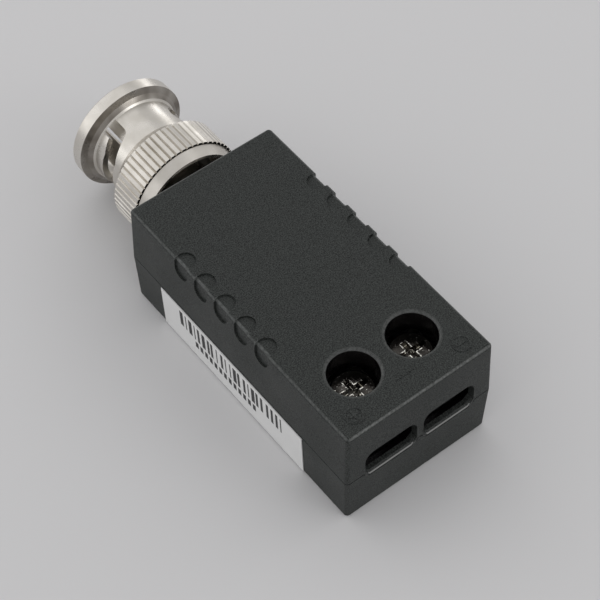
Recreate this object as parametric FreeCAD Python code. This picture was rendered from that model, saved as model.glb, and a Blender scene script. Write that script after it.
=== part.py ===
import FreeCAD, Part
import math
import os

from FreeCAD import Placement, Rotation, Vector

# A passive video balun: a small two-part housing with a bayonet plug on its rear end and
# a pair of screw terminals behind two wire windows in its front end.
# Millimetres. X is across, +Y points out of the plug, Z is up, and the origin is the
# middle of the housing's underside.

# Housing
housing_width = 20.2
housing_length = 39.5
housing_height = 15.5
split_height = 7.2
draft_inset = 0.22
wall = 1.5
corner_radius = 0.5
inner_corner_radius = 0.4
top_edge_radius = 0.45
bottom_edge_radius = 0.4
shadow_gap = 0.12
shadow_depth = 0.5
rib_bite = 0.4
past = 1.0

# Tongues of the lower shell along its long sides, and the snap beads on them
tongue_length = 30.0
tongue_height = 1.2
tongue_thickness = 0.65
tongue_clearance = 0.08
bead_radius = 0.25
bead_proud = 0.15
bead_length = 4.0
bead_spacing = 18.0

# Grip dents along the two upper long edges
dent_count = 5
dent_pitch = 3.65
dent_middle_y = 2.45
dent_radius = 1.15
dent_depth = 0.25
dent_reach_in = 0.75
dent_reach_down = 1.5

# Wire windows, and the lip of the upper shell below each
terminal_setback = 6.6
window_bridge = 0.9
window_top = 10.6
window_top_radius = 1.3
window_chamfer = 0.8
lip_drop = 0.85
lip_side = 0.3
sill_bevel = 0.35
sill_land = 0.06

# Screwdriver holes above the terminal screws
access_radius = 2.9
access_rim_bevel = 0.25
access_tube_wall = 0.85
access_tube_drop = 1.6

# Raised polarity marks beside the holes
mark_radius = 1.1
mark_line = 0.24
mark_height = 0.06
mark_side_inset = 2.8
mark_setback = 2.4
sign_length = 1.24
centre_mark_x = -0.3
centre_mark_length = 1.4
centre_mark_setback = 3.1
centre_dot_radius = 0.17
centre_dot_pitch = 0.6

# Identification label on the left side of the lower shell
label_length = 26.0
label_middle_y = 0.97
label_thickness = 0.1
label_top_margin = 0.2
label_foot = 0.15

# Plug body
plug_axis_height = 7.75
tail_radius = 3.0
tail_length = 3.6
flange_radius = 5.2
flange_thickness = 1.25
shank_radius = 3.75
shank_clearance = 0.1
shank_length = 9.35
shoulder_radius = 4.75
shoulder_thickness = 1.0
sleeve_radius = 4.05
sleeve_bore_radius = 3.5
sleeve_length = 7.55
sleeve_lead = 0.25
sleeve_slots = 4
sleeve_slot_width = 0.5
sleeve_slot_length = 5.9
gasket_seat_depth = 0.2
gasket_seat_slack = 0.05

# Insulator and contact pin
insulator_radius = 2.4
insulator_recess = 0.6
insulator_collar_thickness = 2.0
insulator_slip = 0.03
pin_radius = 0.68
pin_recess = 0.25
pin_tip_length = 0.9
pin_tip_radius = 0.3
pin_tail_length = 2.6
pin_slip = 0.02

# Saddle that holds the plug's tail in the two shells
saddle_thickness = 1.2
saddle_gap = 0.15
saddle_clearance = 0.1

# Panel nut outside the rear wall, and the earth lug on the tail
nut_across_flats = 9.6
nut_thickness = 1.6
nut_chamfer = 0.25
nut_clearance = 0.05
lug_thickness = 0.4
lug_radius = 4.4
lug_leg_width = 1.2
lug_reach = 2.8
lug_slip = 0.02

# Retaining ring, wave washer and thrust washer behind the plug's shoulder, and its gasket
ring_groove_depth = 0.5
ring_thickness = 0.55
ring_proud = 0.95
ring_mouth = 2.4
ring_slip = 0.03
gasket_inset = 0.03
gasket_thickness = 1.0
gasket_slip = 0.05
washer_thickness = 0.3
washer_bore_gap = 0.15
washer_clearance = 0.08
spring_thickness = 0.2
spring_wave_height = 0.28
spring_waves = 3
spring_wave_points = 8
spring_shank_gap = 0.15
spring_bore_gap = 0.27
stack_clearance = 0.05

# Bayonet collar
collar_gap = 2.1
collar_shoulder_gap = 0.2
collar_journal_length = 1.5
collar_journal_clearance = 0.08
collar_recess_radius = 6.0
collar_rear_radius = 6.4
collar_rear_bevel = 1.35
knurl_radius = 7.25
knurl_depth = 0.24
knurl_step = 0.34
knurl_length = 4.2
knurl_teeth = 58
knurl_land_share = 0.62
cone_length = 1.5
neck_radius = 5.72
neck_length = 4.55
rim_radius = 7.25
rim_hollow_depth = 0.95
rim_hollow_flare = 0.75
rim_hollow_rise = 0.62
rim_thickness = 1.85
rim_bevel = 0.3
mouth_bevel = 0.4

# Cam slots of the collar, each from an entry groove round to a lock hole
cam_slots = 2
cam_slot_width = 2.1
cam_entry_angle = 124.5
cam_ramp_angle = 30.0
cam_dwell_angle = 60.0
cam_entry_depth = 4.5
cam_drop = 0.75
cam_lock_rise = 0.25
cam_lock_radius = 1.2
cam_groove_depth = 0.85

# Circuit board, its posts and press ribs, and what stands on it
pin_board_gap = 0.07
board_thickness = 1.2
board_side_gap = 0.3
board_front_gap = 0.25
board_rear_gap = 1.35
post_width = 1.2
post_length = 3.0
post_inset = 2.1
press_gap = 0.05
core_radius = 3.6
core_bore_radius = 1.9
core_height = 3.0
core_edge_bevel = 0.3
core_setback = 9.95
winding_thickness = 0.6
winding_angle = 124.0
winding_gap = 0.05
suppressor_radius = 2.4
suppressor_thickness = 1.8
suppressor_bevel = 0.45
suppressor_side_inset = 2.4
suppressor_setback = 4.05
suppressor_lift = 0.5
capacitor_width = 3.4
capacitor_depth = 2.2
capacitor_height = 3.6
capacitor_bevel = 0.4
capacitor_side_inset = 2.9
capacitor_setback = 3.85
resistor_radius = 0.85
resistor_length = 3.6
resistor_bevel = 0.2
resistor_side_inset = 2.0
resistor_setback = 12.95
resistor_pitch = 6.4
lead_radius = 0.25
lead_pitch = 2.5
lead_slip = 0.05
lead_length = 0.6
part_lift = 0.05

# Terminal block: its base, the two threaded contact clips, clamp plates and screws
base_side_gap = 0.3
base_front_gap = 0.35
base_length = 9.3
barrier_thickness = 1.0
side_barrier_thickness = 0.8
barrier_roof_gap = 0.2
back_wall_thickness = 0.9
back_wall_height = 3.0
well_floor = 0.25
clip_side_gap = 0.3
clip_length = 6.6
clip_thickness = 1.0
clip_barrel_radius = 2.2
clip_barrel_length = 2.4
clip_slip = 0.05
clip_tab_width = 1.5
clip_tab_thickness = 0.7
clip_tab_reach = 3.2
slot_clearance = 0.1
wire_gap = 1.9
clamp_side_gap = 0.35
clamp_thickness = 0.8
clamp_corner_radius = 0.5
clamp_hole_clearance = 0.08
screw_radius = 1.5
screw_clearance = 0.05
screw_length = 6.4
screw_point = 0.35
screw_head_radius = 2.6
screw_head_height = 1.6
screw_head_bevel = 0.25
recess_depth = 1.0
recess_arm = 1.4
recess_width = 0.75
slot_depth = 0.55
slot_arm = 2.0
slot_width = 0.6

# Worked out from the sizes above
front_y = -housing_length / 2
rear_y = housing_length / 2
inner_x = housing_width / 2 - wall
inner_front_y = front_y + wall
inner_rear_y = rear_y - wall
ceiling = housing_height - wall
base_x = inner_x - base_side_gap
cell_inner_x = barrier_thickness / 2
cell_outer_x = base_x - side_barrier_thickness
cell_width = cell_outer_x - cell_inner_x
terminal_x = (cell_inner_x + cell_outer_x) / 2
terminal_y = front_y + terminal_setback
mark_x = housing_width / 2 - mark_side_inset
window_width = 2 * terminal_x - window_bridge
window_sill = split_height - lip_drop + shadow_gap + sill_land + sill_bevel
flange_start = inner_rear_y - flange_thickness
tail_start = flange_start - tail_length
shoulder_start = inner_rear_y + shank_length
sleeve_start = shoulder_start + shoulder_thickness
sleeve_end = sleeve_start + sleeve_length
seat_end = sleeve_start + gasket_thickness + gasket_seat_slack
seat_radius = sleeve_radius - gasket_seat_depth
insulator_start = tail_start + insulator_recess
pin_end = sleeve_end - pin_recess
bore_radius = insulator_radius + insulator_slip
saddle_end = flange_start - saddle_gap
saddle_start = saddle_end - saddle_thickness
washer_front = shoulder_start - spring_thickness - 2 * spring_wave_height
washer_rear = washer_front - washer_thickness
journal_front = washer_rear - stack_clearance
journal_rear = journal_front - collar_journal_length
ring_front = journal_rear - 2 * stack_clearance
ring_rear = ring_front - ring_thickness
collar_bore_radius = shoulder_radius + collar_shoulder_gap
knurl_root = knurl_radius - knurl_depth
knurl_shoulder = knurl_radius - knurl_step
collar_start = rear_y + collar_gap
knurl_start = collar_start + collar_rear_bevel
knurl_end = knurl_start + knurl_length
neck_start = knurl_end + cone_length
rim_hollow_start = neck_start + neck_length
rim_start = rim_hollow_start + rim_hollow_depth
collar_end = rim_start + rim_thickness
cam_ramp_y = collar_end - cam_entry_depth
cam_dwell_y = cam_ramp_y - cam_drop
board_top = plug_axis_height - pin_radius - pin_board_gap
base_top = board_top
barrier_top = ceiling - access_tube_drop - barrier_roof_gap
base_front_y = inner_front_y + base_front_gap
base_rear_y = base_front_y + base_length
board_x = inner_x - board_side_gap
board_front_y = base_rear_y + board_front_gap
board_rear_y = tail_start - board_rear_gap
board_bottom = board_top - board_thickness
lead_foot = board_bottom - lead_length
core_y = board_front_y + core_setback
suppressor_x = suppressor_side_inset - board_x
suppressor_y = board_front_y + suppressor_setback
capacitor_x = board_x - capacitor_side_inset
capacitor_y = board_front_y + capacitor_setback
resistor_x = board_x - resistor_side_inset
resistor_y = board_front_y + resistor_setback
clip_width = cell_width - 2 * clip_side_gap
clip_top = base_top + clip_thickness
clip_rear_y = terminal_y + clip_length / 2
leg_y = clip_rear_y + clip_tab_reach - clip_tab_thickness / 2
lug_leg_x = tail_radius + (lug_radius - tail_radius) / 2
lug_leg_y = tail_start - lug_reach + lug_thickness / 2
clamp_width = cell_width - 2 * clamp_side_gap
clamp_bottom = clip_top + wire_gap
clamp_top = clamp_bottom + clamp_thickness
screw_end = clamp_top - screw_length
core_bottom = board_top + winding_thickness + winding_gap
plug_centre = Vector(0, 0, plug_axis_height)
across = Vector(1, 0, 0)
up = Vector(0, 0, 1)
out_of_plug = Vector(0, 1, 0)


def box(x0, x1, y0, y1, z0, z1):
    return Part.makeBox(x1 - x0, y1 - y0, z1 - z0, Vector(x0, y0, z0))


def block(x, y, width, length, z0, z1):
    """An upright block about the point (x, y)."""
    return box(x - width / 2, x + width / 2, y - length / 2, y + length / 2, z0, z1)


def post(radius, x, y, z0, z1):
    return Part.makeCylinder(radius, z1 - z0, Vector(x, y, z0), up)


def rod(radius, y0, y1):
    """A cylinder on the plug's axis."""
    return Part.makeCylinder(radius, y1 - y0, Vector(0, y0, plug_axis_height), out_of_plug)


def ring(outer, inner, y0, y1):
    return rod(outer, y0, y1).cut(rod(inner, y0, y1))


def joined(solids):
    return solids[0].multiFuse(solids[1:])


def prism(outline, y0, y1):
    """Extrude a closed outline of (x, z) points along Y."""
    return polygon([Vector(x, y0, z) for x, z in outline]).extrude(out_of_plug * (y1 - y0))


def turned(profile):
    """Revolve (radius, y) points about the plug's axis."""
    face = polygon([Vector(radius, y, plug_axis_height) for radius, y in profile])
    return face.revolve(plug_centre, out_of_plug, 360)


def about_plug(solid, angle):
    """A copy turned about the plug's axis, from +X towards +Z."""
    copy = solid.copy()
    copy.rotate(plug_centre, out_of_plug, -angle)
    return copy


def mirrored(solid):
    return solid.mirror(Vector(0, 0, 0), across)


def rounded(solid, radius, chosen):
    """Fillet the edges that the test chooses."""
    return solid.makeFillet(radius, [edge for edge in solid.Edges if chosen(edge)])


def bevelled(solid, size, chosen):
    """Chamfer the edges that the test chooses."""
    return solid.makeChamfer(size, [edge for edge in solid.Edges if chosen(edge)])


def is_circle(edge):
    return isinstance(edge.Curve, Part.Circle)


def at_height(edge, height):
    return all(abs(vertex.Z - height) < 1e-6 for vertex in edge.Vertexes)


def is_level(edge):
    return at_height(edge, edge.firstVertex().Z)


def polygon(points):
    return Part.Face(Part.makePolygon(points + points[:1]))


def rounded_rectangle(width, length, radius, height):
    """A closed wire, level and centred on the Z axis."""
    x = width / 2 - radius
    y = length / 2 - radius
    arcs = []
    for quarter, (cx, cy) in enumerate(((x, y), (-x, y), (-x, -y), (x, -y))):
        circle = Part.Circle(Vector(cx, cy, height), up, radius)
        arcs.append(circle.toShape(math.radians(90 * quarter), math.radians(90 * (quarter + 1))))
    edges = []
    for arc, following in zip(arcs, arcs[1:] + arcs[:1]):
        edges.append(arc)
        edges.append(Part.LineSegment(arc.lastVertex().Point, following.firstVertex().Point).toShape())
    return Part.Wire(edges)


def frustum(x, y, z0, inset, z1):
    """A block that reaches to x and y either way at one height, and is drawn in at the other."""
    quarters = [(1, 1), (-1, 1), (-1, -1), (1, -1)]
    if z1 > z0:
        quarters.reverse()
    wide = [Vector(side * x, end * y, z0) for side, end in quarters]
    narrow = [Vector(side * (x - inset), end * (y - inset), z1) for side, end in quarters]
    faces = [polygon(wide), polygon(narrow)]
    for corner in range(len(quarters)):
        faces.append(polygon([wide[corner - 1], wide[corner], narrow[corner], narrow[corner - 1]]))
    return Part.Solid(Part.Shell(faces))


def outer_form(end_height, edge_radius, grow=0.0):
    """The outside of one shell as a solid, drafted from the split to its filleted end."""
    end = end_height + grow * math.copysign(1, end_height - split_height)
    form = frustum(housing_width / 2 + grow, housing_length / 2 + grow, split_height, draft_inset, end)
    form = rounded(form, corner_radius + grow, lambda edge: not is_level(edge))
    return rounded(form, edge_radius + grow, lambda edge: at_height(edge, end))


def upper_form(grow=0.0):
    return outer_form(housing_height, top_edge_radius, grow)


def lower_form(grow=0.0):
    return outer_form(0.0, bottom_edge_radius, grow)


def cavity():
    opening = rounded_rectangle(2 * inner_x, 2 * inner_rear_y, inner_corner_radius, wall)
    return Part.Face(opening).extrude(up * (ceiling - wall))


def grip_dents():
    """Shallow hollows with round ends, which wrap over the long edges and keep their section."""
    edge_x = housing_width / 2 - draft_inset
    skin = top_edge_radius + dent_depth
    side = edge_x - skin
    under = housing_height - skin
    beyond_x = edge_x + past
    above = housing_height + past
    end_x = edge_x - dent_reach_in
    end_z = housing_height - dent_reach_down
    cutters = []
    for index in range(dent_count):
        y = dent_middle_y + (index - (dent_count - 1) / 2) * dent_pitch
        near = y - dent_radius
        far = y + dent_radius
        cutters.append(post(dent_radius, end_x, y, under, above))
        cutters.append(box(end_x, beyond_x, near, far, under, above))
        cutters.append(Part.makeCylinder(dent_radius, beyond_x - side, Vector(side, y, end_z), across))
        cutters.append(box(side, beyond_x, near, far, end_z, above))
    cutters = joined(cutters + [mirrored(cutter) for cutter in cutters])
    return cutters.cut(upper_form(-dent_depth))


def lip_outline(x, inset, top):
    """Front view of the lip below a window, drawn in by an inset and cut off at a height."""
    foot = split_height - lip_drop + inset
    half_foot = window_width / 2 + lip_side - lip_drop - inset * math.tan(math.pi / 8)
    half_top = half_foot + top - foot
    return [(x - half_foot, foot), (x + half_foot, foot), (x + half_top, top), (x - half_top, top)]


def lips(inset, top, y0, y1):
    return [prism(lip_outline(x, inset, top), y0, y1) for x in (-terminal_x, terminal_x)]


def shadow_line():
    """The groove that shows as a dark line where the shells meet."""
    top = split_height + shadow_gap
    groove_end = front_y + shadow_depth
    plate = box(-housing_width, housing_width, 2 * front_y, 2 * rear_y, split_height, top)
    core = rounded_rectangle(
        housing_width - 2 * shadow_depth, housing_length - 2 * shadow_depth, corner_radius, split_height
    )
    groove = plate.cut(Part.Face(core).extrude(up * shadow_gap))
    groove = groove.multiFuse(lips(0, split_height, 2 * front_y, groove_end))
    return groove.cut(joined(lips(shadow_gap, top, 2 * front_y, groove_end)))


def window(x):
    """One wire window through the front wall, with round upper and cut lower corners."""
    opening = block(x, front_y, window_width, 2 * (wall + past), window_sill, window_top)
    depth = opening.BoundBox.YLength
    middle = opening.CenterOfMass.z
    corners = [edge for edge in opening.Edges if edge.BoundBox.YLength > depth / 2]
    upper = [edge for edge in corners if edge.CenterOfMass.z > middle]
    opening = opening.makeFillet(window_top_radius, upper)
    corners = [edge for edge in opening.Edges if edge.BoundBox.YLength > depth / 2]
    lower = [edge for edge in corners if edge.CenterOfMass.z < window_sill + sill_land]
    return opening.makeChamfer(window_chamfer, lower)


def sill_cutter(x):
    """The bevel along the outer edge of a window's sill, fading out up its cut corners."""
    side = window_width / 2
    top = window_sill + window_chamfer
    wires = []
    for y, spread in ((front_y + sill_bevel, 0), (front_y - sill_bevel, 2 * sill_bevel)):
        foot = side - window_chamfer + spread * math.tan(math.pi / 8)
        low = window_sill - spread
        outline = [(x - side, top), (x - foot, low), (x + foot, low), (x + side, top)]
        points = [Vector(point_x, y, z) for point_x, z in outline]
        wires.append(Part.makePolygon(points + points[:1]))
    return Part.makeLoft(wires, True, True)


def saddle(z0, z1):
    """The rib of one shell that holds the plug's tail."""
    rib = box(-inner_x - rib_bite, inner_x + rib_bite, saddle_start, saddle_end, z0, z1)
    return rib.cut(rod(tail_radius + saddle_clearance, saddle_start, saddle_end))


def post_sites():
    """Where the board is held between the posts of one shell and the ribs of the other."""
    x = inner_x - post_width / 2
    ends = (board_front_y + post_inset, board_rear_y - post_inset)
    return [(side * x, y) for side in (-1, 1) for y in ends]


def press_rib(x, y):
    """Hangs from the ceiling to hold the board down, clear of the tongue."""
    inward = math.copysign(tongue_clearance, x)
    low = block(x - inward, y, post_width, post_length, board_top + press_gap, ceiling)
    above = split_height + tongue_height + tongue_clearance
    return low.fuse(block(x + inward, y, post_width, post_length, above, ceiling + rib_bite))


def beads(radius):
    """The snap beads on the outer faces of the tongues, or the grooves they seat in."""
    x = inner_x + tongue_thickness + bead_proud - bead_radius
    z = split_height + tongue_height / 2
    length = bead_length + 2 * (radius - bead_radius)
    solids = []
    for side in (-1, 1):
        for y in (-bead_spacing / 2, bead_spacing / 2):
            start = Vector(side * x, y - length / 2, z)
            solids.append(Part.makeCylinder(radius, length, start, out_of_plug))
    return solids


def tongues(clearance):
    """The two tongues of the lower shell, or the room the upper one leaves for them."""
    solids = []
    for side in (-1, 1):
        x = side * (inner_x + (tongue_thickness + clearance) / 2)
        width = tongue_thickness + clearance
        top = split_height + tongue_height + clearance
        solids.append(block(x, 0, width, tongue_length + 2 * clearance, split_height, top))
    return solids


def raised_marks():
    """A plus and a minus, each in a ring, and a short dotted line between them."""
    z0 = housing_height
    z1 = z0 + mark_height
    mark_y = front_y + mark_setback
    solids = []
    for x in (-mark_x, mark_x):
        circle = post(mark_radius, x, mark_y, z0, z1)
        solids.append(circle.cut(post(mark_radius - mark_line, x, mark_y, z0, z1)))
        solids.append(block(x, mark_y, sign_length, mark_line, z0, z1))
    solids.append(block(-mark_x, mark_y, mark_line, sign_length, z0, z1))
    dash_y = front_y + centre_mark_setback
    solids.append(block(centre_mark_x, dash_y, centre_mark_length, mark_line, z0, z1))
    for count in (1, 2):
        x = centre_mark_x + centre_mark_length / 2 + count * centre_dot_pitch - mark_line
        solids.append(post(centre_dot_radius, x, dash_y, z0, z1))
    return solids


def upper_shell():
    shell = upper_form().cut(grip_dents())
    shell = shell.cut(cavity())
    lip_solids = [lip.common(lower_form()) for lip in lips(0, split_height, front_y, inner_front_y)]
    shell = shell.multiFuse(lip_solids)
    shell = shell.cut(joined(tongues(tongue_clearance) + beads(bead_radius + tongue_clearance)))
    tubes = []
    bores = []
    for x in (-terminal_x, terminal_x):
        foot = ceiling - access_tube_drop
        tubes.append(post(access_radius + access_tube_wall, x, terminal_y, foot, ceiling + rib_bite))
        bores.append(post(access_radius, x, terminal_y, foot, housing_height))
    ribs = [press_rib(x, y) for x, y in post_sites()]
    shell = shell.multiFuse(tubes + ribs + [saddle(split_height, ceiling + rib_bite)])
    shell = shell.cut(joined(bores))
    openings = [window(x) for x in (-terminal_x, terminal_x)]
    shell = shell.cut(joined(openings + [sill_cutter(x) for x in (-terminal_x, terminal_x)]))
    shell = shell.cut(shadow_line())
    shell = shell.cut(rod(shank_radius + shank_clearance, inner_rear_y - past, rear_y + past))
    shell = bevelled(shell.removeSplitter(), access_rim_bevel, is_access_rim)
    return shell.multiFuse(raised_marks())


def is_access_rim(edge):
    on_top = is_circle(edge) and at_height(edge, housing_height)
    return on_top and abs(edge.Curve.Radius - access_radius) < 1e-6


def lower_shell():
    shell = lower_form().cut(cavity())
    shell = shell.cut(joined(lips(0, split_height, 2 * front_y, inner_front_y)))
    foot = wall - rib_bite
    width = post_width + tongue_clearance
    posts = [block(x, y, width, post_length, foot, board_bottom) for x, y in post_sites()]
    shell = shell.multiFuse(tongues(0) + beads(bead_radius) + posts + [saddle(foot, split_height)])
    return shell.cut(rod(shank_radius + shank_clearance, inner_rear_y - past, rear_y + past))


def id_label():
    """A thin sheet that lies on the left wall and follows the bottom edge round."""
    sheet = lower_form(label_thickness).cut(lower_form())
    left = -housing_width / 2
    y0 = label_middle_y - label_length / 2
    top = split_height - label_top_margin
    return sheet.common(box(left - past, left + past, y0, y0 + label_length, label_foot, top))


def plug_body():
    """Turned and slotted: tail, flange, shank with its ring groove, shoulder and contact sleeve."""
    body = turned([
        (bore_radius, tail_start),
        (tail_radius, tail_start),
        (tail_radius, flange_start),
        (flange_radius, flange_start),
        (flange_radius, inner_rear_y),
        (shank_radius, inner_rear_y),
        (shank_radius, ring_rear - ring_slip),
        (shank_radius - ring_groove_depth, ring_rear - ring_slip),
        (shank_radius - ring_groove_depth, ring_front + ring_slip),
        (shank_radius, ring_front + ring_slip),
        (shank_radius, shoulder_start),
        (shoulder_radius, shoulder_start),
        (shoulder_radius, sleeve_start),
        (seat_radius, sleeve_start),
        (seat_radius, seat_end),
        (sleeve_radius, seat_end),
        (sleeve_radius, sleeve_end - sleeve_lead),
        (sleeve_radius - sleeve_lead, sleeve_end),
        (sleeve_bore_radius, sleeve_end),
        (sleeve_bore_radius, sleeve_start),
        (bore_radius, sleeve_start),
    ])
    slots = []
    for index in range(sleeve_slots):
        slot = box(
            0, sleeve_radius + past, sleeve_end - sleeve_slot_length, sleeve_end + past,
            plug_axis_height - sleeve_slot_width / 2, plug_axis_height + sleeve_slot_width / 2,
        )
        slots.append(about_plug(slot, (index + 0.5) * 360 / sleeve_slots))
    return body.cut(joined(slots))


def plug_insulator():
    collar_end_y = sleeve_start + insulator_collar_thickness
    return turned([
        (pin_radius + pin_slip, insulator_start),
        (insulator_radius, insulator_start),
        (insulator_radius, sleeve_start),
        (sleeve_bore_radius - insulator_slip, sleeve_start),
        (sleeve_bore_radius - insulator_slip, collar_end_y),
        (pin_radius + pin_slip, collar_end_y),
    ])


def centre_pin():
    return turned([
        (0, tail_start - pin_tail_length),
        (pin_radius, tail_start - pin_tail_length),
        (pin_radius, pin_end - pin_tip_length),
        (pin_tip_radius, pin_end),
        (0, pin_end),
    ])


def panel_nut():
    corner = nut_across_flats / 2 / math.cos(math.pi / 6)
    turns = [math.radians(60 * side) for side in range(6)]
    outline = [(corner * math.cos(t), plug_axis_height + corner * math.sin(t)) for t in turns]
    end = rear_y + nut_thickness
    chamfered = turned([
        (shank_radius + nut_clearance, rear_y),
        (nut_across_flats / 2, rear_y),
        (corner, rear_y + nut_chamfer),
        (corner, end - nut_chamfer),
        (nut_across_flats / 2, end),
        (shank_radius + nut_clearance, end),
    ])
    return prism(outline, rear_y, end).common(chamfered)


def ground_tab():
    """A lug ring on the tail's end, with an arm over the board and a leg down through it."""
    lug = ring(lug_radius, tail_radius + lug_slip, tail_start, tail_start + lug_thickness)
    tail_end = tail_start + lug_thickness
    half = lug_thickness / 2
    arm = box(
        -lug_leg_x - lug_leg_width / 2, -lug_leg_x + lug_leg_width / 2, lug_leg_y - half, tail_end,
        plug_axis_height - half, plug_axis_height + half,
    )
    arm = arm.cut(rod(tail_radius + lug_slip, tail_start, tail_end))
    leg = block(-lug_leg_x, lug_leg_y, lug_leg_width, lug_thickness, lead_foot, plug_axis_height + half)
    return lug.multiFuse([arm, leg])


def retaining_ring():
    """A split ring that snaps into the groove behind the collar's journal."""
    inner = shank_radius - ring_groove_depth + ring_slip
    mouth = block(0, (ring_rear + ring_front) / 2, ring_mouth, 2 * ring_thickness, 0, plug_axis_height)
    return ring(shank_radius + ring_proud, inner, ring_rear, ring_front).cut(mouth)


def gasket():
    outer = shoulder_radius - gasket_inset
    return ring(outer, seat_radius + gasket_slip, sleeve_start, sleeve_start + gasket_thickness)


def thrust_washer():
    outer = collar_bore_radius - washer_bore_gap
    return ring(outer, shank_radius + washer_clearance, washer_rear, washer_front)


def wave_washer():
    """A flat spring ring that rises and falls by a sine as it goes round."""
    middle = washer_front + spring_wave_height
    steps = spring_wave_points * spring_waves
    circles = []
    for radius in (shank_radius + spring_shank_gap, collar_bore_radius - spring_bore_gap):
        points = []
        for step in range(steps):
            turn = 2 * math.pi * step / steps
            y = middle + spring_wave_height * math.sin(spring_waves * turn)
            points.append(Vector(radius * math.cos(turn), y, plug_axis_height + radius * math.sin(turn)))
        curve = Part.BSplineCurve()
        curve.interpolate(Points=points, PeriodicFlag=True)
        circles.append(curve.toShape())
    return Part.makeRuledSurface(*circles).extrude(out_of_plug * spring_thickness)


def collar_blank():
    """The collar as turned: rear bevel, seat of the knurl, cone, neck and a hollow-backed rim."""
    return turned([
        (collar_rear_radius, collar_start),
        (knurl_shoulder, knurl_start),
        (knurl_shoulder, knurl_end),
        (neck_radius, neck_start),
        (neck_radius, rim_hollow_start),
        (neck_radius + rim_hollow_flare, rim_hollow_start + rim_hollow_rise),
        (rim_radius, rim_start),
        (rim_radius, collar_end - rim_bevel),
        (rim_radius - rim_bevel, collar_end),
        (collar_bore_radius + mouth_bevel, collar_end),
        (collar_bore_radius, collar_end - mouth_bevel),
        (collar_bore_radius, journal_front),
        (shank_radius + collar_journal_clearance, journal_front),
        (shank_radius + collar_journal_clearance, journal_rear),
        (collar_recess_radius, journal_rear),
        (collar_recess_radius, collar_start),
    ])


def knurl_band():
    """A straight knurl: wide lands between narrow grooves."""
    tooth = 2 * math.pi / knurl_teeth
    half = knurl_land_share / 2
    outline = []
    for index in range(knurl_teeth):
        for radius, part in ((knurl_radius, -half), (knurl_radius, half), (knurl_root, 0.5)):
            turn = (index + part) * tooth
            outline.append((radius * math.cos(turn), plug_axis_height + radius * math.sin(turn)))
    return prism(outline, knurl_start, knurl_end).cut(rod(knurl_shoulder, knurl_start, knurl_end))


def sector(inner, outer, y0, y1, start, sweep):
    """Part of a ring about the plug's axis, from a start angle through a sweep."""
    corners = [(inner, y0), (outer, y0), (outer, y1), (inner, y1)]
    face = polygon([Vector(radius, y, plug_axis_height) for radius, y in corners])
    return about_plug(face.revolve(plug_centre, out_of_plug * -1, sweep), start)


def radial_pin(radius, y, angle, inner, outer):
    pin = Part.makeCylinder(radius, outer - inner, Vector(inner, y, plug_axis_height), across)
    return about_plug(pin, angle)


def cam_ramp(inner, outer):
    """The helical stretch of a cam slot, from the entry to the dwell."""
    middle = (inner + outer) / 2
    helix = Part.makeHelix(cam_drop * 360 / cam_ramp_angle, cam_drop, middle)
    half = cam_slot_width / 2
    corners = [(inner, -half), (outer, -half), (outer, half), (inner, half)]
    points = [Vector(radius, 0, z) for radius, z in corners]
    section = Part.makePolygon(points + points[:1])
    ramp = Part.Wire(helix.Edges).makePipeShell([section], True, True)
    ramp.Placement = Placement(Vector(0, cam_ramp_y, plug_axis_height), Rotation(across, 90))
    return about_plug(ramp, cam_entry_angle)


def cam_slot():
    """Cuts for the entry under the rim, ramp and dwell through the neck, and the lock hole."""
    inner = collar_bore_radius - past / 2
    outer = neck_radius + past
    groove_radius = collar_bore_radius + cam_groove_depth
    half = cam_slot_width / 2
    dwell_start = cam_entry_angle + cam_ramp_angle
    dwell_end = dwell_start + cam_dwell_angle
    mouth = collar_end + past
    entry = box(0, knurl_radius, cam_ramp_y, mouth, plug_axis_height - half, plug_axis_height + half)
    entry = about_plug(entry, cam_entry_angle).common(rod(groove_radius, cam_ramp_y, mouth))
    return [
        entry,
        radial_pin(half, cam_ramp_y, cam_entry_angle, inner, groove_radius),
        cam_ramp(inner, outer),
        radial_pin(half, cam_dwell_y, dwell_start, inner, outer),
        sector(inner, outer, cam_dwell_y - half, cam_dwell_y + half, dwell_start, cam_dwell_angle),
        radial_pin(half, cam_dwell_y, dwell_end, inner, outer),
        radial_pin(cam_lock_radius, cam_dwell_y + cam_lock_rise, dwell_end, inner, outer),
    ]


def bayonet_collar():
    collar = collar_blank().fuse(knurl_band())
    for index in range(cam_slots):
        collar = collar.cut([about_plug(cut, index * 360 / cam_slots) for cut in cam_slot()])
    return collar


def lead_sites():
    """Where the round leads of the small parts pass through the board, by part."""
    half = lead_pitch / 2
    reach = resistor_pitch / 2
    return {
        "suppressor": [(suppressor_x, suppressor_y - half), (suppressor_x, suppressor_y + half)],
        "capacitor": [(capacitor_x - half, capacitor_y), (capacitor_x + half, capacitor_y)],
        "resistor": [(resistor_x, resistor_y - reach), (resistor_x, resistor_y + reach)],
    }


def circuit_board():
    board = box(-board_x, board_x, board_front_y, board_rear_y, board_bottom, board_top)
    holes = []
    for sites in lead_sites().values():
        holes.extend(post(lead_radius + lead_slip, x, y, board_bottom, board_top) for x, y in sites)
    width = clip_tab_width + 2 * slot_clearance
    length = clip_tab_thickness + 2 * slot_clearance
    for x in (-terminal_x, terminal_x):
        holes.append(block(x, leg_y, width, length, board_bottom, board_top))
    width = lug_leg_width + 2 * slot_clearance
    length = lug_thickness + 2 * slot_clearance
    holes.append(block(-lug_leg_x, lug_leg_y, width, length, board_bottom, board_top))
    return board.cut(joined(holes))


def ferrite_core():
    top = core_bottom + core_height
    core = post(core_radius, 0, core_y, core_bottom, top)
    core = core.cut(post(core_bore_radius, 0, core_y, core_bottom, top))
    return bevelled(core, core_edge_bevel, is_circle)


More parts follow.
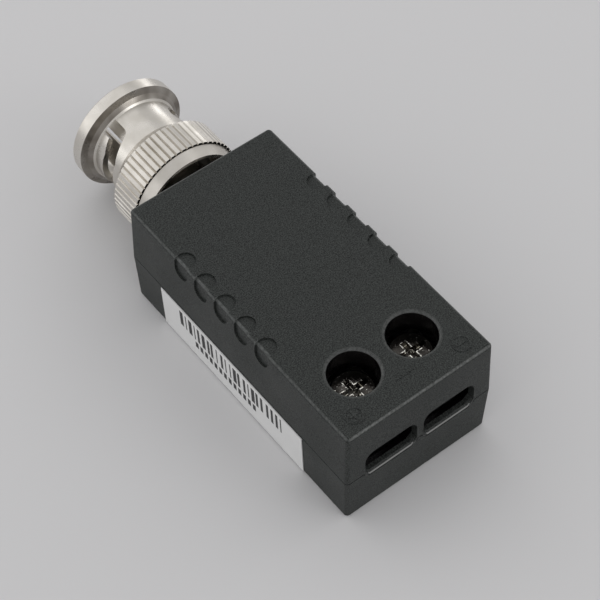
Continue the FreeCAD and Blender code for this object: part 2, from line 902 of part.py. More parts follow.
def winding(middle_angle):
    """The turns round one side of the core, as the sleeve they make."""
    inner = core_bore_radius - winding_gap
    outer = core_radius + winding_gap
    bottom = core_bottom - winding_gap
    top = core_bottom + core_height + winding_gap
    faces = []
    for grow in (winding_thickness, 0):
        section = [
            (inner - grow, bottom - grow), (outer + grow, bottom - grow),
            (outer + grow, top + grow), (inner - grow, top + grow),
        ]
        faces.append(polygon([Vector(x, core_y, z) for x, z in section]))
    centre = Vector(0, core_y, 0)
    sleeve = faces[0].cut(faces[1]).Faces[0].revolve(centre, up, winding_angle)
    sleeve.rotate(centre, up, middle_angle - winding_angle / 2)
    return sleeve


def surge_suppressor():
    centre_z = board_top + suppressor_lift + suppressor_radius
    corner = Vector(suppressor_x - suppressor_thickness / 2, suppressor_y, centre_z)
    disc = Part.makeCylinder(suppressor_radius, suppressor_thickness, corner, across)
    disc = bevelled(disc, suppressor_bevel, is_circle)
    leads = [post(lead_radius, x, y, lead_foot, centre_z) for x, y in lead_sites()["suppressor"]]
    return disc.multiFuse(leads)


def capacitor():
    bottom = board_top + part_lift
    top = bottom + capacitor_height
    body = block(capacitor_x, capacitor_y, capacitor_width, capacitor_depth, bottom, top)
    body = bevelled(body, capacitor_bevel, lambda edge: not at_height(edge, bottom))
    leads = [post(lead_radius, x, y, lead_foot, bottom + lead_length) for x, y in lead_sites()["capacitor"]]
    return body.multiFuse(leads)


def resistor():
    """Lies on the board between two leads bent down at its ends."""
    z = board_top + part_lift + resistor_radius
    start = Vector(resistor_x, resistor_y - resistor_length / 2, z)
    body = Part.makeCylinder(resistor_radius, resistor_length, start, out_of_plug)
    body = bevelled(body, resistor_bevel, is_circle)
    wire_start = Vector(resistor_x, resistor_y - resistor_pitch / 2, z)
    wire = Part.makeCylinder(lead_radius, resistor_pitch, wire_start, out_of_plug)
    legs = [post(lead_radius, x, y, lead_foot, z + lead_radius) for x, y in lead_sites()["resistor"]]
    return body.multiFuse([wire] + legs)


def terminal_base():
    """A block with a barrier between and beside the cells, and a low wall behind them."""
    base = box(-base_x, base_x, base_front_y, base_rear_y, wall, barrier_top)
    back_start = base_rear_y - back_wall_thickness
    back_top = base_top + back_wall_height
    width = clip_tab_width + 2 * slot_clearance
    rooms = []
    for x in (-terminal_x, terminal_x):
        side = math.copysign(1, x)
        near = min(side * cell_inner_x, side * cell_outer_x)
        far = near + cell_width
        rooms.append(box(near, far, base_front_y - past, back_start, base_top, barrier_top + past))
        rooms.append(box(near, far, back_start, base_rear_y + past, back_top, barrier_top + past))
        rooms.append(post(clip_barrel_radius + clip_slip, x, terminal_y, wall + well_floor, base_top))
        rooms.append(block(x, base_rear_y, width, 2 * back_wall_thickness, base_top, barrier_top))
    return base.cut(joined(rooms))


def contact_clip(x):
    """A threaded plate with its barrel in the base and its tail soldered in the board."""
    barrel_foot = base_top - clip_barrel_length
    clip = block(x, terminal_y, clip_width, clip_length, base_top, clip_top)
    barrel = post(clip_barrel_radius, x, terminal_y, barrel_foot, clip_top)
    half = clip_tab_width / 2
    leg_end = clip_rear_y + clip_tab_reach
    tab = box(x - half, x + half, terminal_y, leg_end, clip_top - clip_tab_thickness, clip_top)
    leg = box(x - half, x + half, leg_end - clip_tab_thickness, leg_end, lead_foot, clip_top)
    clip = clip.multiFuse([barrel, tab, leg])
    return clip.cut(post(screw_radius + screw_clearance, x, terminal_y, barrel_foot, clip_top))


def clamp_plate(x):
    plate = block(x, terminal_y, clamp_width, clamp_width, clamp_bottom, clamp_top)
    plate = rounded(plate, clamp_corner_radius, lambda edge: not is_level(edge))
    return plate.cut(post(screw_radius + clamp_hole_clearance, x, terminal_y, clamp_bottom, clamp_top))


def terminal_screw(x):
    """A cheese-head screw whose recess takes a cross or a flat blade."""
    top = clamp_top + screw_head_height
    head = post(screw_head_radius, x, terminal_y, clamp_top, top)
    head = bevelled(head, screw_head_bevel, lambda edge: is_circle(edge) and at_height(edge, top))
    shank = post(screw_radius, x, terminal_y, screw_end, clamp_top)
    shank = bevelled(shank, screw_point, lambda edge: is_circle(edge) and at_height(edge, screw_end))
    recess = [
        block(x, terminal_y, 2 * recess_arm, recess_width, top - recess_depth, top),
        block(x, terminal_y, recess_width, 2 * recess_arm, top - recess_depth, top),
        block(x, terminal_y, 2 * slot_arm, slot_width, top - slot_depth, top),
    ]
    return head.fuse(shank).cut(joined(recess))


def pieces():
    """Every piece by its node name."""
    solids = {
        "upper_shell": upper_shell(),
        "lower_shell": lower_shell(),
        "id_label": id_label(),
        "bayonet_collar": bayonet_collar(),
        "plug_body": plug_body(),
        "plug_insulator": plug_insulator(),
        "centre_pin": centre_pin(),
        "panel_nut": panel_nut(),
        "ground_tab": ground_tab(),
        "retaining_ring": retaining_ring(),
        "gasket": gasket(),
        "thrust_washer": thrust_washer(),
        "wave_washer": wave_washer(),
        "circuit_board": circuit_board(),
        "ferrite_core": ferrite_core(),
        "winding_left": winding(180),
        "winding_right": winding(0),
        "surge_suppressor": surge_suppressor(),
        "capacitor": capacitor(),
        "resistor": resistor(),
        "terminal_base": terminal_base(),
    }
    for side, x in (("left", -terminal_x), ("right", terminal_x)):
        solids["contact_clip_" + side] = contact_clip(x)
        solids["clamp_plate_" + side] = clamp_plate(x)
        solids["terminal_screw_" + side] = terminal_screw(x)
    return solids


def main():
    os.makedirs("parts", exist_ok=True)
    for name, solid in pieces().items():
        solid = solid.removeSplitter()
        print(name, solid.isValid(), len(solid.Solids), round(solid.Volume, 2))
        solid.exportStep("parts/" + name + ".step")


main()
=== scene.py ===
import math

import bmesh
import bpy
from mathutils import Matrix, Vector


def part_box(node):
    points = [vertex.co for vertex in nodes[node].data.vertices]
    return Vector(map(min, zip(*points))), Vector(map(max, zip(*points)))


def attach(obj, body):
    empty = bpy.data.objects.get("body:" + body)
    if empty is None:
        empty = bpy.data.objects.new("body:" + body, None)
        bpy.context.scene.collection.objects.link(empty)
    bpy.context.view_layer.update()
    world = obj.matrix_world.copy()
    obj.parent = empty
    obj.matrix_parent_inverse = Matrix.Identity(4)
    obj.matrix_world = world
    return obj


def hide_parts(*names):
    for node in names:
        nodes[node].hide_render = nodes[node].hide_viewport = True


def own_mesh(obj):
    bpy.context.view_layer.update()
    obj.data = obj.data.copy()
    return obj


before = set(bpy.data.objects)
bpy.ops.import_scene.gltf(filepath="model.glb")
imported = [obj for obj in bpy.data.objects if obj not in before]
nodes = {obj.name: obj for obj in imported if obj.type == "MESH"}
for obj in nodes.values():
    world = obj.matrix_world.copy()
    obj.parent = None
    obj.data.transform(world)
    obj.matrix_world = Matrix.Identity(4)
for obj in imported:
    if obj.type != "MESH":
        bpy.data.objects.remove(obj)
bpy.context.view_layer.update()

mm = 0.001
plugHeight = 7.75           # mm, axis of the plug above the underside
terminalPlace = (4.0, -13.15)       # mm, axis of a terminal screw: to the side and along

scene = bpy.context.scene
scene.view_settings.view_transform = "Standard"


# Camera and studio

view = {
    "azimuth": -37.0835,        # degrees, from straight behind the wire windows
    "elevation": 53.6651,
    "roll": -1.0305,
    "target": (0.0, 1.1958, 9.6373),
    "distance": 212.982,
    "lens": 114.548,
    "sensor": 36.0,
    "clip": (0.001, 10),        # metres
}


def makeCamera(settings):
    data = bpy.data.cameras.new("photoCamera")
    data.lens = settings["lens"]
    data.sensor_width = settings["sensor"]
    data.clip_start, data.clip_end = settings["clip"]
    camera = bpy.data.objects.new("photoCamera", data)
    scene.collection.objects.link(camera)
    turn = Matrix.Rotation(math.radians(settings["azimuth"]), 3, "Z")
    tilt = Matrix.Rotation(math.radians(90 - settings["elevation"]), 3, "X")
    roll = Matrix.Rotation(math.radians(settings["roll"]), 3, "Z")
    facing = turn @ tilt @ roll
    place = Vector(settings["target"]) + facing @ Vector((0, 0, settings["distance"]))
    camera.matrix_world = Matrix.Translation(place * mm) @ facing.to_4x4()
    scene.camera = camera


makeCamera(view)

floorLook = {
    "size": 1.6,                # metres
    "color": (0.625, 0.62, 0.625),
    "roughness": 0.85,
}


def nodesOf(material):
    material.use_nodes = True
    tree = material.node_tree
    tree.nodes.clear()
    shader = tree.nodes.new("ShaderNodeBsdfPrincipled")
    output = tree.nodes.new("ShaderNodeOutputMaterial")
    tree.links.new(shader.outputs["BSDF"], output.inputs["Surface"])
    return tree, shader


def makeFloor(look):
    mesh = bpy.data.meshes.new("floor")
    form = bmesh.new()
    bmesh.ops.create_grid(form, x_segments=1, y_segments=1, size=look["size"] / 2)
    form.to_mesh(mesh)
    form.free()
    floor = bpy.data.objects.new("floor", mesh)
    scene.collection.objects.link(floor)
    material = bpy.data.materials.new("paleFloor")
    tree, shader = nodesOf(material)
    shader.inputs["Base Color"].default_value = (*look["color"], 1)
    shader.inputs["Roughness"].default_value = look["roughness"]
    mesh.materials.append(material)


makeFloor(floorLook)

# Softboxes: place and size in mm, watts
lamps = {
    "rightFill": {"place": (348, -313, 520), "size": (760, 620), "watts": 0.34},
    "topBack": {"place": (-60, 400, 560), "size": (760, 560), "watts": 0.36},
    "front": {"place": (238, -487, 301), "size": (260, 160), "watts": 0.24},
    "left": {"place": (-542, 219, 285), "size": (800, 480), "watts": 0.36},
    "back": {"place": (-210, 646, 169), "size": (900, 300), "watts": 0.60},
    "backRight": {"place": (520, 380, 130), "size": (300, 150), "watts": 0.18},
}


def makeLamp(name, settings):
    data = bpy.data.lights.new(name, "AREA")
    data.shape = "RECTANGLE"
    data.size = settings["size"][0] * mm
    data.size_y = settings["size"][1] * mm
    data.energy = settings["watts"]
    lamp = bpy.data.objects.new(name, data)
    scene.collection.objects.link(lamp)
    lamp.visible_camera = False
    place = Vector(settings["place"]) * mm
    lamp.matrix_world = Matrix.Translation(place) @ place.to_track_quat("Z", "Y").to_matrix().to_4x4()


for lampName, lampSettings in lamps.items():
    makeLamp(lampName, lampSettings)

worldLook = {"color": (0.80, 0.80, 0.805), "strength": 0.86}


def makeWorld(look):
    world = bpy.data.worlds.new("studio")
    scene.world = world
    world.use_nodes = True
    background = world.node_tree.nodes["Background"]
    background.inputs["Color"].default_value = (*look["color"], 1)
    background.inputs["Strength"].default_value = look["strength"]


makeWorld(worldLook)
print("camera, floor and lamps ready")


# Building blocks for the materials: a mask is a socket that gives 1 where it holds and 0 elsewhere

def newMaterial(name, look):
    material = bpy.data.materials.new(name)
    tree, shader = nodesOf(material)
    shader.inputs["Base Color"].default_value = (*look["color"], 1)
    shader.inputs["Roughness"].default_value = look["roughness"]
    shader.inputs["Metallic"].default_value = look.get("metallic", 0)
    shader.inputs["Specular IOR Level"].default_value = look.get("specular", 0.5)
    shader.inputs["Coat Weight"].default_value = look.get("coat", 0)
    return material, tree, shader


def dress(names, material):
    for name in names:
        mesh = nodes[name].data
        mesh.materials.clear()
        mesh.materials.append(material)


def objectPlace(tree):
    return tree.nodes.new("ShaderNodeTexCoord").outputs["Object"]


def calc(tree, operation, first, second=0.0):
    node = tree.nodes.new("ShaderNodeMath")
    node.operation = operation
    for socket, value in zip(node.inputs, (first, second)):
        if isinstance(value, (int, float)):
            socket.default_value = value
        else:
            tree.links.new(value, socket)
    return node.outputs[0]


def grain(tree, place, size, detail=2.0):       # size is the width of one grain in mm
    noise = tree.nodes.new("ShaderNodeTexNoise")
    noise.inputs["Scale"].default_value = 1 / (size * mm)
    noise.inputs["Detail"].default_value = detail
    tree.links.new(place, noise.inputs["Vector"])
    return noise.outputs["Fac"]


def spread(tree, factor, low, high, start=0.3, stop=0.7):
    node = tree.nodes.new("ShaderNodeMapRange")
    node.inputs["From Min"].default_value = start
    node.inputs["From Max"].default_value = stop
    node.inputs["To Min"].default_value = low
    node.inputs["To Max"].default_value = high
    tree.links.new(factor, node.inputs["Value"])
    return node.outputs["Result"]


def blendColors(tree, factor, first, second):
    node = tree.nodes.new("ShaderNodeMix")
    node.data_type = "RGBA"
    tree.links.new(factor, node.inputs["Factor"])
    for socket, value in ((node.inputs["A"], first), (node.inputs["B"], second)):
        if isinstance(value, tuple):
            socket.default_value = (*value, 1)
        else:
            tree.links.new(value, socket)
    return node.outputs["Result"]


# Lays a colour over the present one where the mask holds
def paint(tree, shader, mask, color):
    socket = shader.inputs["Base Color"]
    present = socket.links[0].from_socket
    tree.links.new(blendColors(tree, mask, present, color), socket)


# Gives the surface another roughness where the mask holds
def polish(tree, shader, mask, roughness):
    socket = shader.inputs["Roughness"]
    node = tree.nodes.new("ShaderNodeMix")
    node.inputs["B"].default_value = roughness
    tree.links.new(mask, node.inputs["Factor"])
    tree.links.new(socket.links[0].from_socket, node.inputs["A"])
    tree.links.new(node.outputs["Result"], socket)


# Where all the masks hold
def allOf(tree, mask, *others):
    for other in others:
        mask = calc(tree, "MULTIPLY", mask, other)
    return mask


# 1 where the value is at the start, 0 past the stop, both in mm
def fade(tree, value, start, stop):
    return spread(tree, value, 1, 0, start * mm, stop * mm)


# Between two places in mm
def within(tree, value, low, high):
    above = calc(tree, "GREATER_THAN", value, low * mm)
    return calc(tree, "MULTIPLY", above, calc(tree, "LESS_THAN", value, high * mm))


def splitPlace(tree):
    split = tree.nodes.new("ShaderNodeSeparateXYZ")
    tree.links.new(objectPlace(tree), split.inputs["Vector"])
    return split.outputs["X"], split.outputs["Y"], split.outputs["Z"]


def lengthOf(tree, first, second):
    squares = [calc(tree, "MULTIPLY", value, value) for value in (first, second)]
    return calc(tree, "SQRT", calc(tree, "ADD", *squares))


# Across and along from the axis of the terminal on the same side
def fromTerminal(tree):
    x, y = splitPlace(tree)[:2]
    across = calc(tree, "SUBTRACT", calc(tree, "ABSOLUTE", x), terminalPlace[0] * mm)
    along = calc(tree, "SUBTRACT", y, terminalPlace[1] * mm)
    return across, along


def relief(tree, shader, height, depth):        # depth in mm
    bump = tree.nodes.new("ShaderNodeBump")
    bump.inputs["Distance"].default_value = depth * mm
    tree.links.new(height, bump.inputs["Height"])
    tree.links.new(bump.outputs["Normal"], shader.inputs["Normal"])


# Radius about the plug's axis and place along it, so that a pattern goes round in rings
def turnedPlace(tree):
    x, y, z = splitPlace(tree)
    rise = calc(tree, "SUBTRACT", z, plugHeight * mm)
    join = tree.nodes.new("ShaderNodeCombineXYZ")
    tree.links.new(lengthOf(tree, x, rise), join.inputs["X"])
    tree.links.new(y, join.inputs["Y"])
    return join.outputs["Vector"]


# Moulded plastic of the housing and the terminal block
# Sizes, depths, heights and places in this and all later looks are in mm

shellLook = {
    "color": (0.001, 0.0015, 0.0012),
    "paleGrain": (0.052, 0.057, 0.054),
    "grainFrom": (0.33, 0.67),  # range of the noise over which dark turns to pale
    "roughness": 0.48,
    "roughnessSpread": 0.06,
    "specular": 0.22,
    "grain": 0.12,
    "grainDepth": 0.018,
    "hazeSize": 9.0,
    "half": (10.1, 19.75),      # half width and half length at the joint of the shells
    "jointHeight": 7.2,
    "draft": 0.028,             # taper of the sides
    "top": 15.5,
    "edgeReach": 0.36,          # from the faces, within which the top's edges get a painted highlight
    "edgeFrom": (0.18, 0.48),
    "patchSize": 0.3,           # patches in which the painted highlights come and go
    "patchLeast": 0.3,
    # painted highlights along the top's side and end edges, the end edge brighter
    "sideEdgeHighlight": (0.105, 0.11, 0.107),
    "endEdgeHighlight": (0.17, 0.175, 0.17),
    "edgeRoughness": 0.34,
    "holeRadius": 2.92,         # screwdriver holes
    "highlightRing": 0.4,          # width of the painted highlight ring round them
    "ringDepth": (0.1, 0.3),    # below the top, over which the ring fades
    # painted highlight colour of the ring round the holes
    "ringHighlightTint": (0.14, 0.143, 0.14),
    "sill": (6.45, 6.95),       # height of the windows' lower edges
    "sillDepth": (0.02, 0.13),  # behind the front
    "sillReach": (0.5, 7.5),    # from the middle of the front
    # painted highlight on the windows' lower edges
    "sillHighlightTint": (0.24, 0.24, 0.235),
    "dents": (2.45, 3.65, 1.2, 5),      # middle, pitch and half width of a row, and their number
    "dentDepth": 0.25,
    "skin": (0.9, 0.9, 0.6),    # below sides, ends and top, where the smooth inner walls begin
    "boreStart": 0.22,          # below the top, where the holes' smooth walls begin
    # painted shade on the walls in the holes, windows and inside
    "innerShadeTint": (0.0015, 0.001, 0.0015),
    "innerRoughness": 0.14,
}


def moulded(name, look):
    material, tree, shader = newMaterial(name, look)
    place = objectPlace(tree)
    speckle = grain(tree, place, look["grain"], detail=3)
    haze = grain(tree, place, look["hazeSize"], detail=4)
    pale = spread(tree, speckle, 0, 1, *look["grainFrom"])
    tint = blendColors(tree, pale, look["color"], look["paleGrain"])
    tree.links.new(tint, shader.inputs["Base Color"])
    low = look["roughness"] - look["roughnessSpread"]
    high = look["roughness"] + look["roughnessSpread"]
    tree.links.new(spread(tree, haze, low, high), shader.inputs["Roughness"])
    relief(tree, shader, speckle, look["grainDepth"])
    return material, tree, shader


# Textured outside with painted highlights on the top's edges, round the screwdriver holes and on the
# windows' lower edges, and painted shade on the smooth walls in the holes, windows and inside
def shellPlastic(look):
    material, tree, shader = moulded("shellPlastic", look)
    x, y, z = splitPlace(tree)
    taper = calc(tree, "ABSOLUTE", calc(tree, "SUBTRACT", z, look["jointHeight"] * mm))
    taper = calc(tree, "MULTIPLY", taper, look["draft"])
    depths = []                 # how deep a point lies below the sides, the ends and the top
    for value, half in zip((x, y), look["half"]):
        outside = calc(tree, "SUBTRACT", half * mm, taper)
        depths.append(calc(tree, "SUBTRACT", outside, calc(tree, "ABSOLUTE", value)))
    depths.append(calc(tree, "SUBTRACT", look["top"] * mm, z))

    middle, pitch, half, count = look["dents"]
    along = calc(tree, "SUBTRACT", y, middle * mm)
    step = calc(tree, "ADD", calc(tree, "DIVIDE", along, pitch * mm), 0.5)
    offset = calc(tree, "SUBTRACT", calc(tree, "FRACT", step), 0.5)     # from the nearest dent, in pitches
    dent = calc(tree, "LESS_THAN", calc(tree, "ABSOLUTE", offset), half / pitch)
    dent = allOf(tree, dent, within(tree, along, -count * pitch / 2, count * pitch / 2))
    sunk = calc(tree, "MULTIPLY", dent, look["dentDepth"] * mm)

    near = [fade(tree, calc(tree, "SUBTRACT", depth, sunk), 0, look["edgeReach"]) for depth in depths]
    patches = grain(tree, objectPlace(tree), look["patchSize"])
    patchy = spread(tree, patches, look["patchLeast"], 1)
    edgeHighlights = []
    for beside in near[:2]:
        edge = spread(tree, allOf(tree, beside, near[2]), 0, 1, *look["edgeFrom"])
        edgeHighlights.append(allOf(tree, edge, patchy))

    away = lengthOf(tree, *fromTerminal(tree))
    ring = fade(tree, away, look["holeRadius"], look["holeRadius"] + look["highlightRing"])
    ring = allOf(tree, ring, fade(tree, depths[2], *look["ringDepth"]), patchy)

    sill = allOf(tree, within(tree, depths[1], *look["sillDepth"]), within(tree, z, *look["sill"]),
                 within(tree, calc(tree, "ABSOLUTE", x), *look["sillReach"]),
                 calc(tree, "LESS_THAN", y, 0))

    aboveFloor = calc(tree, "GREATER_THAN", z, look["skin"][2] * mm)
    under = [calc(tree, "GREATER_THAN", depth, skin * mm) for depth, skin in zip(depths, look["skin"])]
    bore = allOf(tree, calc(tree, "LESS_THAN", away, look["holeRadius"] * mm),
                 calc(tree, "GREATER_THAN", depths[2], look["boreStart"] * mm), aboveFloor)
    inside = calc(tree, "MAXIMUM", allOf(tree, aboveFloor, *under), bore)

    # painted highlight on the ring round the screwdriver holes
    paint(tree, shader, ring, look["ringHighlightTint"])
    # painted highlights along the top's side and end edges
    paint(tree, shader, edgeHighlights[0], look["sideEdgeHighlight"])
    paint(tree, shader, edgeHighlights[1], look["endEdgeHighlight"])
    # painted highlight on the windows' lower edges
    paint(tree, shader, sill, look["sillHighlightTint"])
    # painted shade in the holes, windows and inside
    paint(tree, shader, inside, look["innerShadeTint"])
    for edge in edgeHighlights:
        polish(tree, shader, edge, look["edgeRoughness"])
    polish(tree, shader, inside, look["innerRoughness"])
    return material


dress(["upper_shell", "lower_shell"], shellPlastic(shellLook))

baseLook = {
    "color": (0.008, 0.008, 0.009),
    "paleGrain": (0.014, 0.014, 0.015),
    "grainFrom": (0.33, 0.67),
    "roughness": 0.5,
    "roughnessSpread": 0.08,
    "specular": 0.3,
    "grain": 0.2,
    "grainDepth": 0.008,
    "hazeSize": 5.0,
}
dress(["terminal_base"], moulded("terminalPlastic", baseLook)[0])
print("plastics ready")


# Plated and plain metal

nickelLook = {
    "color": (0.69, 0.66, 0.615),
    "stain": (0.58, 0.55, 0.50),
    "roughness": 0.29,
    "roughnessSpread": 0.05,
    "metallic": 1.0,
    "grain": 0.05,
    "grainDepth": 0.002,
    "stainSize": 2.2,
    "hollow": (33.42, 34.42, 5.95),     # from, to and least radius of the rim's hollow back
    # painted dark reflection in the rim's hollow back
    "hollowShade": (0.13, 0.11, 0.09),
    "hollowShadePatch": 3.52,
    "hollowShadeLeast": 0.35,
    "landEnd": (23.15, 23.21, 6.95),    # the same for the end faces of the knurl's lands
    "landRim": (23.15, 23.24, 7.2),     # and for the outer edges of those faces
    # painted shade on the end faces of the knurl's lands
    "landEndShade": (0.025, 0.023, 0.021),
}


# Stained metal, with fine lines that go round the plug where it was turned on a lathe
def plated(name, look, turned=True):
    material, tree, shader = newMaterial(name, look)
    place = objectPlace(tree)
    stain = grain(tree, place, look["stainSize"], detail=5)
    tint = blendColors(tree, spread(tree, stain, 0, 1), look["color"], look["stain"])
    tree.links.new(tint, shader.inputs["Base Color"])
    low = look["roughness"] - look["roughnessSpread"]
    high = look["roughness"] + look["roughnessSpread"]
    tree.links.new(spread(tree, stain, low, high), shader.inputs["Roughness"])
    lines = turnedPlace(tree) if turned else place
    relief(tree, shader, grain(tree, lines, look["grain"]), look["grainDepth"])
    return material, tree, shader


# Between two places along the plug and outside a radius
def belt(tree, start, stop, least):
    x, y, z = splitPlace(tree)
    radius = lengthOf(tree, x, calc(tree, "SUBTRACT", z, plugHeight * mm))
    return allOf(tree, within(tree, y, start, stop), calc(tree, "GREATER_THAN", radius, least * mm))


# Painted dark reflection, in patches, in the hollow back of the rim, and painted shade on the ends of the
# knurl
def shadedNickel(look):
    material, tree, shader = plated("nickelPlate", look)
    patches = grain(tree, objectPlace(tree), look["hollowShadePatch"])
    patchy = spread(tree, patches, look["hollowShadeLeast"], 1)
    # painted dark reflection in the rim's hollow back
    paint(tree, shader, allOf(tree, belt(tree, *look["hollow"]), patchy), look["hollowShade"])
    knurlEnds = calc(tree, "MAXIMUM", belt(tree, *look["landEnd"]), belt(tree, *look["landRim"]))
    # painted shade on the end faces of the knurl's lands
    paint(tree, shader, knurlEnds, look["landEndShade"])
    return material


dress(["bayonet_collar", "plug_body", "panel_nut"], shadedNickel(nickelLook))

screwLook = {
    # painted shade: the head's metal is coloured dark for the dark walls of its hole that it mirrors
    "color": (0.075, 0.07, 0.063),
    "stain": (0.02, 0.019, 0.017),
    "roughness": 0.14,
    "roughnessSpread": 0.05,
    "metallic": 1.0,
    "grain": 0.3,
    "grainDepth": 0.014,
    "stainSize": 0.8,
    "arm": (1.4, 0.375),        # half length and half width of the recess's arms
    "glintBand": (-0.02, 0.1),   # past the recess's edge, inwards and outwards
    "headEdge": 2.4,            # radius from which the head's edge gets the painted highlight
    # painted highlight colour of the glints and specks
    "glint": (0.80, 0.78, 0.72),
    "glintPatchSize": 0.45,          # patches in which the painted highlight comes and goes
    "glintPatchFrom": (0.43, 0.52),
    "sparkSize": 0.3,            # painted glints: bright specks
    "sparkFrom": (0.65, 0.70),
}


# The cross recess of a screw, grown on all sides
def crossMask(tree, across, along, arm, grow):
    length, width = (value + grow for value in arm)
    arms = []
    for reach, half in ((length, width), (width, length)):
        arms.append(allOf(tree, within(tree, across, -reach, reach), within(tree, along, -half, half)))
    return calc(tree, "MAXIMUM", *arms)


# Painted highlights: bright glints in patches along the edges of the recess and the head, and bright
# specks
def glintingScrew(look):
    material, tree, shader = plated("screwPlate", look, False)
    across, along = fromTerminal(tree)
    inner, outer = (crossMask(tree, across, along, look["arm"], grow) for grow in look["glintBand"])
    glint = calc(tree, "SUBTRACT", outer, inner)
    headEdge = calc(tree, "GREATER_THAN", lengthOf(tree, across, along), look["headEdge"] * mm)
    place = objectPlace(tree)
    glintPatches = spread(tree, grain(tree, place, look["glintPatchSize"]), 0, 1, *look["glintPatchFrom"])
    glint = allOf(tree, calc(tree, "MAXIMUM", glint, headEdge), glintPatches)
    sparks = spread(tree, grain(tree, place, look["sparkSize"]), 0, 1, *look["sparkFrom"])
    # painted highlights on the screw head
    paint(tree, shader, calc(tree, "MAXIMUM", glint, sparks), look["glint"])
    return material


dress(["terminal_screw_left", "terminal_screw_right"], glintingScrew(screwLook))

tinLook = {
    "color": (0.30, 0.30, 0.29),
    "stain": (0.18, 0.18, 0.17),
    "roughness": 0.42,
    "roughnessSpread": 0.08,
    "metallic": 1.0,
    "grain": 0.25,
    "grainDepth": 0.01,
    "stainSize": 1.1,
}
tinned = ["contact_clip_left", "contact_clip_right", "clamp_plate_left", "clamp_plate_right",
          "ground_tab"]
dress(tinned, plated("tinnedSteel", tinLook, False)[0])

springLook = dict(tinLook, color=(0.45, 0.44, 0.42), stain=(0.33, 0.31, 0.29), roughness=0.32)
springSteel = plated("springSteel", springLook)[0]
dress(["retaining_ring", "thrust_washer", "wave_washer"], springSteel)

waveSpring = {
    "travel": 0.45,             # how far the collar's slide presses the spring together
    "mergeDistance": 0.0001,
    "sharpFrom": 40,            # degrees
}

# The wave spring: a merged, smooth-shaded copy of the wave washer takes its place, attached to the housing

# The wave spring flattens against the plug's shoulder as the collar is pulled back on it
def makeWaveSpring(settings, material):
    form = bmesh.new()
    form.from_mesh(nodes["wave_washer"].data)
    bmesh.ops.remove_doubles(form, verts=form.verts, dist=settings["mergeDistance"] * mm)
    bmesh.ops.recalc_face_normals(form, faces=form.faces)
    mesh = bpy.data.meshes.new("wave_spring")
    form.to_mesh(mesh)
    form.free()
    mesh.shade_smooth()
    mesh.set_sharp_from_angle(angle=math.radians(settings["sharpFrom"]))
    mesh.materials.append(material)
    spring = bpy.data.objects.new("wave_spring", mesh)
    scene.collection.objects.link(spring)
    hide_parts("wave_washer")
    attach(spring, "housing")
    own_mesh(spring)


makeWaveSpring(waveSpring, springSteel)

goldLook = {
    "color": (0.86, 0.62, 0.24),
    "stain": (0.74, 0.50, 0.17),
    "roughness": 0.2,
    "roughnessSpread": 0.05,
    "metallic": 1.0,
    "grain": 0.06,
    "grainDepth": 0.002,
    "stainSize": 1.5,
}
dress(["centre_pin"], plated("goldFlash", goldLook)[0])
print("metals ready")


# Insulator, gasket and what stands on the board

# Plastic, rubber, lacquer or paper with clouded colour
def clouded(name, look):
    material, tree, shader = newMaterial(name, look)
    place = objectPlace(tree)
    cloud = grain(tree, place, look["cloudSize"], detail=3)
    tint = blendColors(tree, spread(tree, cloud, 0, 1), look["color"], look["cloud"])
    tree.links.new(tint, shader.inputs["Base Color"])
    relief(tree, shader, grain(tree, place, look["grain"]), look["grainDepth"])
    return material, tree, shader


plainLooks = {
    "insulatorWhite": {
        "nodes": ["plug_insulator"], "color": (0.86, 0.86, 0.83), "cloud": (0.80, 0.80, 0.76),
        "roughness": 0.38, "cloudSize": 1.5, "grain": 0.12, "grainDepth": 0.006,
    },
    "gasketRubber": {
        "nodes": ["gasket"], "color": (0.020, 0.020, 0.021), "cloud": (0.032, 0.032, 0.033),
        "roughness": 0.75, "cloudSize": 0.6, "grain": 0.08, "grainDepth": 0.01, "specular": 0.3,
    },
    "ferriteBlack": {
        "nodes": ["ferrite_core"], "color": (0.050, 0.050, 0.054), "cloud": (0.085, 0.083, 0.083),
        "roughness": 0.58, "cloudSize": 0.35, "grain": 0.07, "grainDepth": 0.015,
    },
    "blueLacquer": {
        "nodes": ["surge_suppressor"], "color": (0.020, 0.085, 0.36), "cloud": (0.030, 0.11, 0.42),
        "roughness": 0.28, "cloudSize": 1.2, "grain": 0.5, "grainDepth": 0.02, "coat": 0.4,
    },
    "redLacquer": {
        "nodes": ["capacitor"], "color": (0.42, 0.060, 0.030), "cloud": (0.50, 0.085, 0.042),
        "roughness": 0.3, "cloudSize": 1.2, "grain": 0.5, "grainDepth": 0.02, "coat": 0.4,
    },
    "solderMask": {
        "nodes": ["circuit_board"], "color": (0.010, 0.110, 0.036), "cloud": (0.014, 0.145, 0.050),
        "roughness": 0.35, "cloudSize": 0.9, "grain": 0.15, "grainDepth": 0.006, "coat": 0.3,
    },
}
for plainName, plainLook in plainLooks.items():
    dress(plainLook["nodes"], clouded(plainName, plainLook)[0])

resistorLook = {
    "color": (0.52, 0.40, 0.24),
    "cloud": (0.58, 0.46, 0.29),
    "roughness": 0.32,
    "cloudSize": 0.7,
    "grain": 0.3,
    "grainDepth": 0.01,
    "bands": (                  # place along the body as a share of it, and colour
        (0.22, (0.12, 0.03, 0.01)),
        (0.38, (0.01, 0.01, 0.01)),
        (0.54, (0.55, 0.09, 0.01)),
        (0.80, (0.60, 0.42, 0.10)),
    ),
    "bandWidth": 0.32,
    "bodyLength": 3.6,
}


def bandedResistor(look):
    material, tree, shader = clouded("resistorLacquer", look)
    low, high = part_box("resistor")
    start = (low[1] + high[1]) / 2 - look["bodyLength"] * mm / 2
    along = splitPlace(tree)[1]
    for share, color in look["bands"]:
        middle = start + share * look["bodyLength"] * mm
        offset = calc(tree, "ABSOLUTE", calc(tree, "SUBTRACT", along, middle))
        paint(tree, shader, calc(tree, "LESS_THAN", offset, look["bandWidth"] * mm / 2), color)
    return material


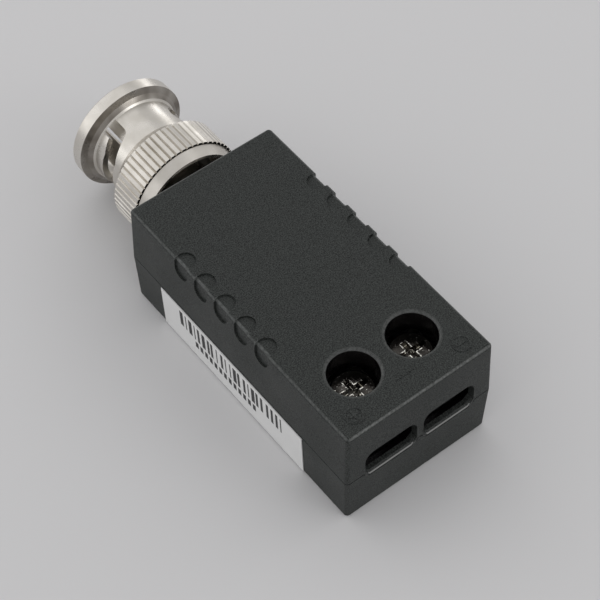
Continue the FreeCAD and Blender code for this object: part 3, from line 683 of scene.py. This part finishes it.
dress(["resistor"], bandedResistor(resistorLook))

wireLook = {
    "color": (0.36, 0.105, 0.030),
    "roughness": 0.3,
    "coat": 0.5,
    "turns": 26,                # turns of wire that half a circle would hold
    "wireDepth": 0.12,
    "shade": (0.10, 0.026, 0.008),
}


# Turns lie across the ring, so they show as spokes about the core's middle
def enamelledWire(look):
    material, tree, shader = newMaterial("enamelledWire", look)
    low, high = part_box("ferrite_core")
    x, y = splitPlace(tree)[:2]
    ahead = calc(tree, "SUBTRACT", y, (low[1] + high[1]) / 2)
    across = calc(tree, "SUBTRACT", x, (low[0] + high[0]) / 2)
    angle = calc(tree, "ARCTAN2", ahead, across)
    ripple = calc(tree, "ABSOLUTE", calc(tree, "SINE", calc(tree, "MULTIPLY", angle, look["turns"])))
    tint = blendColors(tree, ripple, look["shade"], look["color"])
    tree.links.new(tint, shader.inputs["Base Color"])
    relief(tree, shader, ripple, look["wireDepth"])
    return material


dress(["winding_left", "winding_right"], enamelledWire(wireLook))
print("inner parts ready")


# Label: white coated paper with a field of bars and a row of dashes

labelLook = {
    "color": (0.72, 0.72, 0.715),
    "cloud": (0.69, 0.69, 0.685),
    "ink": (0.012, 0.012, 0.013),
    "roughness": 0.5,
    "cloudSize": 3.0,
    "grain": 0.12,
    "grainDepth": 0.003,
    "barField": (-9.0, 10.6, 3.7, 6.4),         # along y, then up z
    "barStep": 0.21,            # width of a place for a bar
    "barShare": 0.5,            # share of the places that chance makes dark
    "cycle": 4,                 # in each four places one is always dark and one always bare
    "darkPlace": 0,
    "barePlace": 2,
    "dashField": (-3.6, 8.1, 2.15, 3.25),
    "dashPitch": 0.9,
    "dashShare": 0.62,
}


# A field of the label
def inField(tree, along, height, field):
    y0, y1, z0, z1 = field
    return allOf(tree, within(tree, along, y0, y1), within(tree, height, z0, z1))


# All places of the cycle but the given one
def notPlace(tree, place, given):
    offset = calc(tree, "ABSOLUTE", calc(tree, "SUBTRACT", place, given))
    return calc(tree, "GREATER_THAN", offset, 0.5)


def printedLabel(look):
    material, tree, shader = clouded("labelPaper", look)
    along, height = splitPlace(tree)[1:]

    step = calc(tree, "FLOOR", calc(tree, "DIVIDE", along, look["barStep"] * mm))
    chance = tree.nodes.new("ShaderNodeTexWhiteNoise")
    chance.noise_dimensions = "1D"
    tree.links.new(step, chance.inputs["W"])
    bars = calc(tree, "LESS_THAN", chance.outputs["Value"], look["barShare"])
    place = calc(tree, "FLOORED_MODULO", step, look["cycle"])
    dark = calc(tree, "SUBTRACT", 1, notPlace(tree, place, look["darkPlace"]))
    bars = allOf(tree, calc(tree, "MAXIMUM", bars, dark), notPlace(tree, place, look["barePlace"]),
                 inField(tree, along, height, look["barField"]))

    part = calc(tree, "FRACT", calc(tree, "DIVIDE", along, look["dashPitch"] * mm))
    dashes = allOf(tree, calc(tree, "LESS_THAN", part, look["dashShare"]),
                   inField(tree, along, height, look["dashField"]))
    paint(tree, shader, calc(tree, "MAXIMUM", bars, dashes), look["ink"])
    return material


dress(["id_label"], printedLabel(labelLook))
print("label ready")
